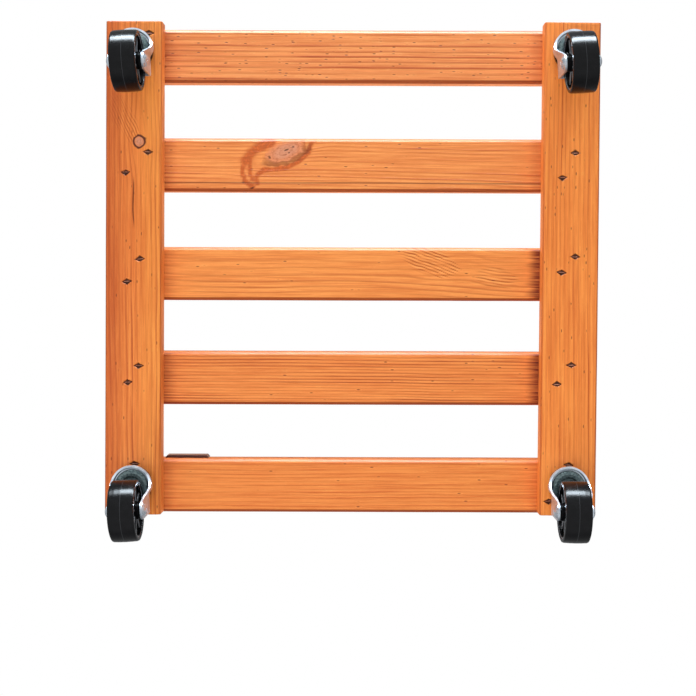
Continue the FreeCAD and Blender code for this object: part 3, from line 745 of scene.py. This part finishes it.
def black_plastic(s, colour):
    """Colour, roughness and normal of a black moulding with a faint haze, scuffs and dust."""
    haze = s.noise((0.2, 0.2, 0.2), 3.0, (1, 5, 8))
    scuff = s.noise((0.9, 2.4, 2.4), 3.0, (4, 4, 7))
    dust = s.noise((2.8, 2.8, 2.8), 2.0, (8, 2, 6))
    tone = s.mix(s.band(haze, 0.35, 0.7), srgb(*colour), srgb(*[c + 5 for c in colour]))
    tone = s.mix(s.band(dust, 0.66, 0.80, 0.0, 0.12), tone, srgb(76, 76, 78))
    roughness = s.band(scuff, 0.3, 0.75, 0.16, 0.26)
    return tone, roughness, s.bump(scuff, 0.015, 0.4, s.bump(haze, 0.05, 0.3))


def plastic_material(name):
    s = Shader(name)
    return s.finish(*black_plastic(s, (13, 13, 14)), Specular_IOR_Level=0.2)


def wheel_material(corner):
    """Black moulding with a painted highlight on the lip round the rim and on the rib tops, and a
    line round the tread.

    The marks are bands of the distance from the axle and the distance out from the wheel's middle.
    """
    axis = next(j["axis"] for j in frame["joints"] if j["name"] == corner + "_roll")
    turn = math.atan2(axis[1], axis[0])
    s = Shader(corner + "_wheel_moulding", joint_place(corner + "_roll"), turn)
    tone, roughness, normal = black_plastic(s, (9, 9, 11))
    x, y, z = (s.part(s.place, axis) for axis in range(3))
    radius = s.math("SQRT", s.math("ADD", s.math("MULTIPLY", y, y), s.math("MULTIPLY", z, z)))
    out = s.math("ABSOLUTE", x)
    # patchy strength of the painted highlights on the lip and rib tops
    highlight_patches = s.noise((0.3, 0.3, 0.3), 3.0, (6, 2, 2), 0.6)
    lip = s.math("MULTIPLY", s.band(radius, 22.3, 22.7), s.band(radius, 23.0, 23.4, 1.0, 0.0))
    lip = s.math("MULTIPLY", lip, s.band(out, 9.8, 10.4))
    lip = s.math("MULTIPLY", lip, s.band(highlight_patches, 0.3, 0.6, 0.5, 1.0))
    # grey of the painted highlights on the lip and rib tops
    pale = srgb(150, 152, 156)
    tone = s.mix(lip, tone, pale)
    # painted highlight on the rib tops
    rib_highlight = s.math("MULTIPLY", s.band(radius, 20.8, 21.3, 1.0, 0.0), s.band(out, 8.2, 8.7))
    rib_highlight = s.math("MULTIPLY", rib_highlight, s.band(out, 9.0, 9.6, 1.0, 0.0))
    rib_highlight = s.math("MULTIPLY", rib_highlight, s.band(radius, 7.9, 8.4))
    tone = s.mix(s.math("MULTIPLY", rib_highlight, s.band(highlight_patches, 0.3, 0.6, 0.5, 1.0)), tone, pale)
    seam = s.math("MULTIPLY", s.band(out, 0.12, 0.35, 1.0, 0.0), s.band(radius, 25.0, 26.0))
    tone = s.mix(s.math("MULTIPLY", seam, 0.6), tone, srgb(62, 63, 66))
    return s.finish(tone, roughness, normal, Specular_IOR_Level=0.16)


# ---------------------------------------------------------------- boards
def edge_tone(_, v):
    """Redder towards the right rail's outer edge and yellower towards its inner one."""
    return np.clip(v / 25.0 * 1.2 + 0.15, -1, 1)


RAIL_KNOT = Knot((115.7, 5.2), (5.6, 5.5), 0, reach=16, spread=8)
SPIKE_KNOT = Knot((62.0, 12.6), (21.5, 10.2), -21, reach=10, spread=5, bend=0.7,
                  rim=0.5, rim_side=-110)
SPIKE_BARK = (Stroke(((76, 21), (87, 16), (94, 11), (99, 4)), 4.8),
              Stroke(((99, 4), (103, -6), (100, -14.5), (93, -20)), 2.2),
              Stroke(((95, 5), (96, -5), (93, -13)), 1.8),
              Stroke(((89, -17), (88, -9), (83, -5), (72, -4), (63, -3), (50, 3), (41, 11),
                      (38, 19)), 2.3))


def cathedral(u, v):
    """Crowded wavy lines in the middle slat's grain, where it rose round a buried branch."""
    first = np.exp(-((u + 66) / 20) ** 2) * smoothstep(-8, 6, v)
    second = np.exp(-((u + 122) / 22) ** 2) * smoothstep(-14, -2, v)
    return -0.42 * (u + 66) * first - 0.25 * (u + 122) * second


WOODS = {
    "slat_1": Wood(11, (80, 6), 5.2, lean=(0.004, 0.01), wander=2.0, ripple=0.4,
                   early=(250, 156, 88), late=(190, 84, 34), contrast=0.95, specks=0.22),
    "slat_2": Wood(22, (-70, 20), 3.6, lean=(0.01, -0.02), wander=2.0, ripple=0.5,
                   early=(252, 156, 82), late=(206, 100, 40), contrast=0.85, specks=0.05,
                   knots=(SPIKE_KNOT,), bark=SPIKE_BARK,
                   spots=(Oval((100.7, -16.5), (1.4, 1.0)), Oval((93.0, -21.4), (1.8, 1.1), -30),
                          Oval((77.0, 7.0), (1.7, 1.0), 60), Oval((61.5, 13.8), (2.6, 0.8), -20),
                          Oval((59.0, 11.4), (1.0, 0.8)), Oval((55.0, 16.8), (0.9, 0.8))),
                   lines=((-16.8, 0.65),)),
    "slat_3": Wood(33, (46, 66), 3.0, lean=(0.01, 0.02), wander=2.5, ripple=0.6,
                   early=(255, 158, 78), late=(188, 82, 24), contrast=0.6, specks=0.03,
                   waves=cathedral, rail_shade=(1.0, 0.2),
                   figures=(Figure((-73, 11.4), (29, 12.5), 20, 2.8),
                            Figure((-134, -3.3), (22, 10), 8, 2.8, 0.7))),
    "slat_4": Wood(44, (69, -58), 2.3, lean=(0.006, 0.0), wander=1.5, ripple=0.3,
                   early=(250, 148, 72), late=(164, 64, 18), contrast=1.0, specks=0.05,
                   rail_shade=(1.0, 0.4)),
    "slat_5": Wood(55, (34, -30), 2.8, lean=(0.0, 0.0), wander=1.5, ripple=0.5,
                   early=(250, 148, 70), late=(208, 100, 38), contrast=0.6, specks=0.05),
    "right_rail": Wood(66, (-60, 50), 3.2, lean=(0.01, 0.02), wander=2.5, ripple=0.6,
                       early=(246, 140, 62), late=(178, 72, 22), contrast=0.85, specks=0.06,
                       tone=edge_tone, knots=(RAIL_KNOT,), edges=(0.9, 0.3),
                       figures=(Figure((137, -9), (26, 11), -26, 2.3, 0.5),),
                       checks=((0.25, 34, 86, 0.6, 0.5),)),
    "left_rail": Wood(77, (65, 40), 3.4, lean=(0.01, -0.01), wander=2.5, ripple=0.6,
                      early=(255, 150, 66), late=(200, 88, 30), contrast=0.75, specks=0.08,
                      edges=(0.4, 0.6)),
}

boards = find_boards()
staple_steel = steel_material("staple_steel", (214, 156, 132), (168, 110, 88), 0.45)
for side in ("left", "right"):
    make_staples(side, boards[side + "_rail"], staple_steel)
for name, board in boards.items():
    piece = make_board(board, WOODS[name], wood_material(name + "_pine", WOODS[name]))

# ---------------------------------------------------------------- label plate and casters
GREASED = (110, 124, 124), (62, 76, 78), 0.3
PLATED_STEM = (184, 192, 199), (0.24, 0.38)
# the end of a CAD node's name, its material and its finish
FINISHES = {
    "label_plate": (label_material(), "label_metal"),
    "_threaded_insert": (steel_material("insert_bright", (176, 170, 158), (120, 112, 100), 0.3),
                         "insert_steel"),
    "_flange_washer": (plastic_material("black_moulding"), "black_plastic"),
    "_lock_nut": (zinc_material("zinc_nut", (178, 186, 195), (0.18, 0.30)), "zinc_plate"),
    "_stem": (zinc_material("zinc_stem", *PLATED_STEM), "zinc_plate"),
    "_thrust_collar": (zinc_material("zinc_collar", *PLATED_STEM), "zinc_plate"),
    "_ball_ring": (steel_material("bearing_balls", (190, 192, 194), (140, 142, 146), 0.12),
                   "ball_steel"),
    "_lower_race": (steel_material("greased_race", *GREASED), "race_steel"),
    "_axle_bush": (steel_material("greased_bush", *GREASED), "race_steel"),
    "_fork": (zinc_material("zinc_sheet"), "zinc_plate"),
    "_axle_rivet": (zinc_material("zinc_rivet", (192, 199, 208), (0.22, 0.38)), "rivet_zinc"),
}
for corner in CORNERS:
    FINISHES[corner + "_wheel"] = (wheel_material(corner), "wheel_plastic")
for node, piece in frame["nodes"].items():
    for ending, (material, finish) in FINISHES.items():
        if node.endswith(ending):
            piece.data.materials.clear()
            piece.data.materials.append(material)

# ---------------------------------------------------------------- floor, light and camera
def make_floor():
    """A wide pale floor, transparent from below, that throws no light or shadow on the rack."""
    s = Shader("pale_floor")
    grain = s.noise((0.02, 0.02, 0.02), 3.0)
    colour = s.mix(grain, srgb(116, 118, 121), srgb(122, 124, 126))
    s.feed(s.surface.inputs["Emission Color"], s.mix(grain, (0.97, 0.97, 0.975, 1), (1, 1, 1, 1)))
    s.finish(colour, 0.8, Emission_Strength=0.82, Specular_IOR_Level=0.0)
    back = s.tree.nodes.new("ShaderNodeNewGeometry")
    clear = s.tree.nodes.new("ShaderNodeBsdfTransparent")
    pick = s.tree.nodes.new("ShaderNodeMixShader")
    output = s.tree.nodes["Material Output"]
    s.tree.links.new(back.outputs["Backfacing"], pick.inputs[0])
    s.tree.links.new(s.surface.outputs[0], pick.inputs[1])
    s.tree.links.new(clear.outputs[0], pick.inputs[2])
    s.tree.links.new(pick.outputs[0], output.inputs["Surface"])
    half, level = 6000, -0.2
    corners = [(x * half, y * half, level) for x, y in ((-1, -1), (1, -1), (1, 1), (-1, 1))]
    floor = new_object("floor", corners, [[0, 1, 2, 3]], [s.material], smooth=False)
    floor.visible_shadow = False
    floor.visible_diffuse = False
    floor.visible_glossy = False


def make_world():
    world = bpy.data.worlds.new("studio")
    bpy.context.scene.world = world
    world.use_nodes = True
    tree = world.node_tree
    lit = tree.nodes["Background"]
    lit.inputs["Color"].default_value = (0.97, 0.985, 1, 1)
    seen = tree.nodes.new("ShaderNodeBackground")
    seen.inputs["Color"].default_value = (1, 1, 1, 1)
    path = tree.nodes.new("ShaderNodeLightPath")
    pick = tree.nodes.new("ShaderNodeMixShader")
    # metal and gloss see a brighter room than the one that lights the wood, and one that
    # is dimmer towards the horizon
    place = tree.nodes.new("ShaderNodeTexCoord")
    split = tree.nodes.new("ShaderNodeSeparateXYZ")
    tree.links.new(place.outputs["Generated"], split.inputs[0])
    room = tree.nodes.new("ShaderNodeMapRange")
    room.interpolation_type = "SMOOTHSTEP"
    room.inputs["From Min"].default_value = 0.0
    room.inputs["From Max"].default_value = -0.7
    room.inputs["To Min"].default_value = 0.36
    room.inputs["To Max"].default_value = 0.94
    tree.links.new(split.outputs["Z"], room.inputs["Value"])
    strength = tree.nodes.new("ShaderNodeMapRange")
    strength.inputs["To Min"].default_value = 0.53
    tree.links.new(room.outputs[0], strength.inputs["To Max"])
    tree.links.new(path.outputs["Is Glossy Ray"], strength.inputs["Value"])
    tree.links.new(strength.outputs[0], lit.inputs["Strength"])
    tree.links.new(path.outputs["Is Camera Ray"], pick.inputs[0])
    tree.links.new(lit.outputs[0], pick.inputs[1])
    tree.links.new(seen.outputs[0], pick.inputs[2])
    tree.links.new(pick.outputs[0], tree.nodes["World Output"].inputs["Surface"])


def area_light(name, place, size, power, colour=(1, 1, 1), diffuse=True, gloss=True):
    """A rectangular lamp that faces the rack, which may be left out of its matt or glossy light."""
    data = bpy.data.lights.new(name, "AREA")
    data.shape = "RECTANGLE"
    data.size, data.size_y = size
    data.energy = power
    data.color = colour
    lamp = bpy.data.objects.new(name, data)
    lamp.location = place
    lamp.rotation_mode = "QUATERNION"
    lamp.rotation_quaternion = (LAMP_TARGET - Vector(place)).to_track_quat("-Z", "Y")
    lamp.visible_diffuse = diffuse
    lamp.visible_glossy = gloss
    bpy.context.scene.collection.objects.link(lamp)


LAMP_TARGET = Vector((0, 0, 0.05))
make_floor()
make_world()
area_light("low_far_side", (0.0, 1.9, -0.22), (2.0, 0.7), 52, (0.86, 0.94, 1.0))
# the long highlight across the treads
area_light("far_strip", (0.0, 1.9, -0.12), (1.6, 0.6), 150, (0.78, 0.90, 1.0), diffuse=False)
area_light("low_fill", (0.5, -0.9, -1.5), (1.8, 1.8), 16, gloss=False)
area_light("key_above", (-0.8, -1.3, 2.0), (1.6, 1.6), 34, (1.0, 0.98, 0.95), gloss=False)
area_light("side_fill", (2.0, 0.2, 0.5), (1.4, 1.4), 14, gloss=False)

# the camera stands under the deck, a little off its middle, and looks straight up
swivels = [joint_place(corner + "_swivel") for corner in CORNERS]
deck_centre = sum(swivels, Vector()) / len(swivels)
camera_data = bpy.data.cameras.new("camera")
camera_data.lens = 62.13
camera_data.sensor_width = 36
camera_data.shift_x = -0.0181
camera_data.shift_y = -0.0825
camera_data.clip_start = 0.05
camera_data.clip_end = 30
camera = bpy.data.objects.new("camera", camera_data)
camera.location = (deck_centre.x - 0.00805, deck_centre.y - 0.02032, -1.028)
camera.rotation_euler = (0, math.pi, -0.003)
bpy.context.scene.collection.objects.link(camera)
bpy.context.scene.camera = camera
bpy.context.scene.view_settings.view_transform = "Standard"
